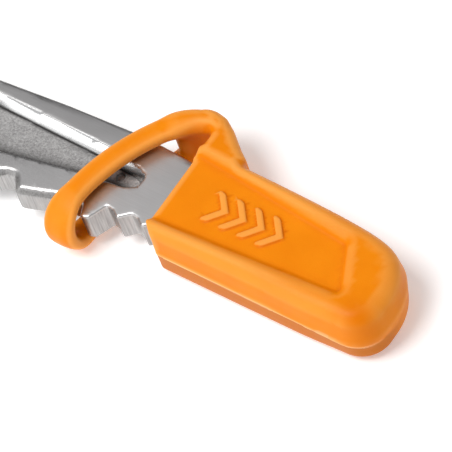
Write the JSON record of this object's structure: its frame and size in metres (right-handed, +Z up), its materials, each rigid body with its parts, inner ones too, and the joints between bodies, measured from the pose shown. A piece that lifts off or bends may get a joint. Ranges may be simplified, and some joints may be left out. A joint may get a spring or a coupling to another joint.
{
  "type": "ice axe pick with protector",
  "caption": "Toothed forged ice axe pick with a moulded rubber sheath slipped over its point and held by a loop hooked behind the teeth.",
  "frame": {"origin": "middle of the part's box, on the surface it lies on", "axes": "+X along the pick towards its point, +Y across the blade towards its spine, +Z up, out of the side face that is seen; the part lies on its side"},
  "size_m": [0.1772, 0.0474, 0.0204],
  "materials": {
    "orange_rubber": "soft satin moulded elastomer",
    "steel_blade": "brushed flats with a grainy forged pocket and bright chamfers",
    "zinc_fasteners": "zinc plated, satin"
  },
  "bodies": {
    "pick": {"pick_blade": "steel_blade", "end_screw": "zinc_fasteners", "end_front_washer": "zinc_fasteners", "end_rear_washer": "zinc_fasteners", "end_nut": "zinc_fasteners", "inner_screw": "zinc_fasteners", "inner_front_washer": "zinc_fasteners", "inner_rear_washer": "zinc_fasteners", "inner_nut": "zinc_fasteners"},
    "cover": {"sheath_front_shell": "orange_rubber", "sheath_rear_shell": "orange_rubber"},
    "loop": {"retaining_loop": "orange_rubber"}
  },
  "joints": [
    {"name": "cover_slide", "type": "slide", "parent": "pick", "child": "cover", "axis": [1, 0, 0], "range_m": [0, 0.1]},
    {"name": "loop_flex", "type": "hinge", "parent": "cover", "child": "loop", "pos_m": [0.01145, 0.01606, 0.0101], "axis": [0, 0, 1], "range_deg": [0, 20], "stiffness_Nm_per_rad": 0.3}
  ]
}
